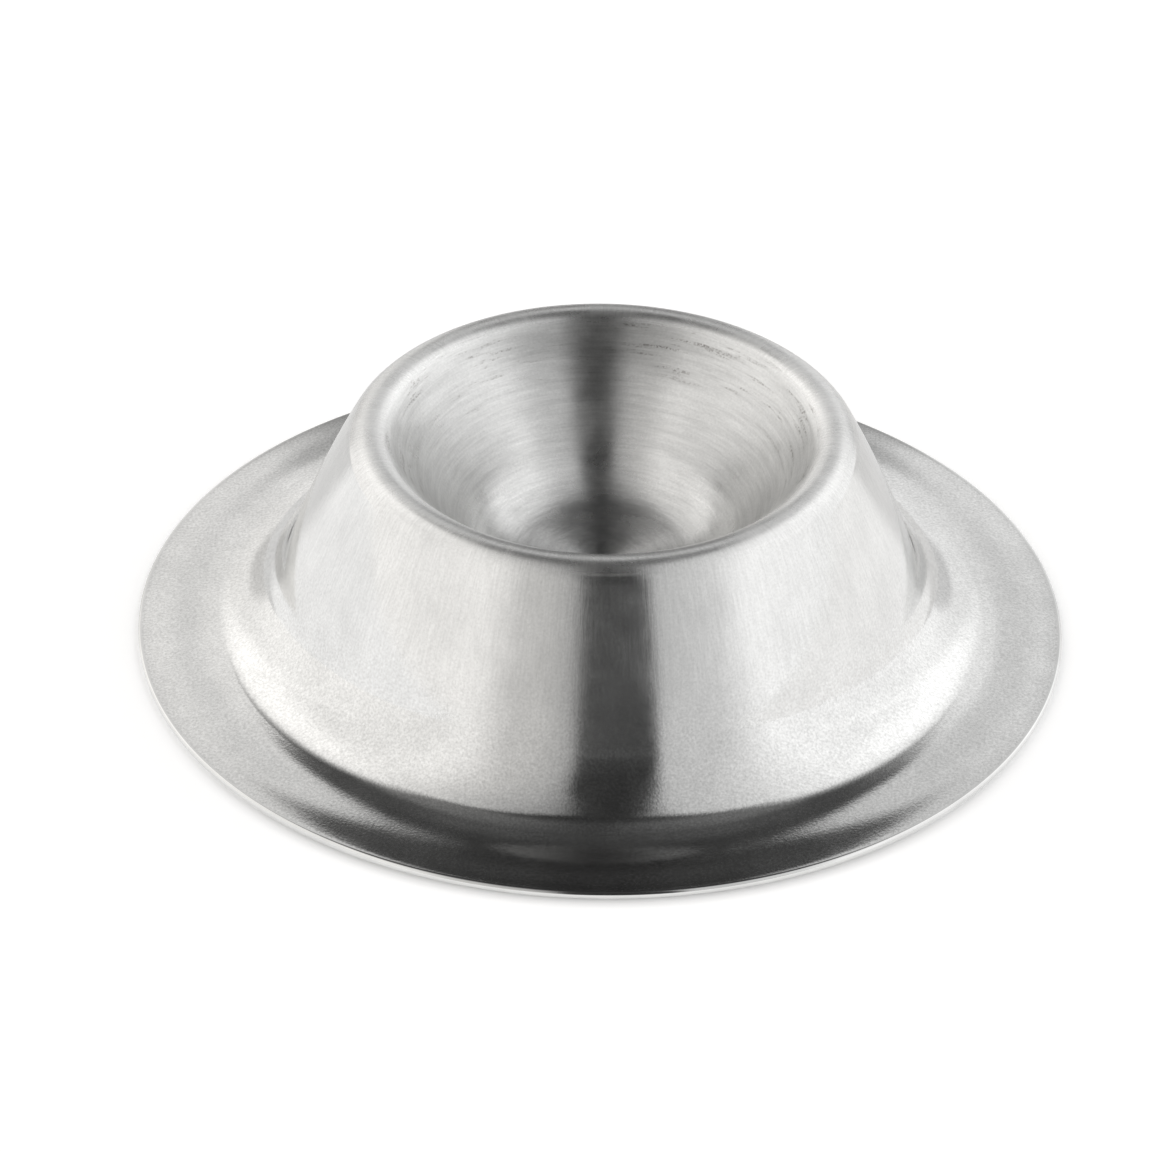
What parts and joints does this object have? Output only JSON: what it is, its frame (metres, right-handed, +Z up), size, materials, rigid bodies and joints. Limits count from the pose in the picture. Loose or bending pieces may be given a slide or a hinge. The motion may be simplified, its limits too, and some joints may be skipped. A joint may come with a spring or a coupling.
{
  "type": "egg cup",
  "caption": "Low egg cup drawn from steel sheet, with a rounded bowl, a turned-over lip, a sloping wall and a wide foot flange.",
  "frame": {"origin": "on the cup's axis, in the plane that the flange's edge stands on", "axes": "+Z up along the cup's axis; +X to the right and +Y away from the viewer in the picture, though the form is the same all round"},
  "size_m": [0.086, 0.086, 0.0215],
  "materials": {
    "steel": "satin, fine grain outside, spun lines in the bowl"
  },
  "bodies": {
    "root": {"pressed_cup": "steel"}
  },
  "joints": []
}
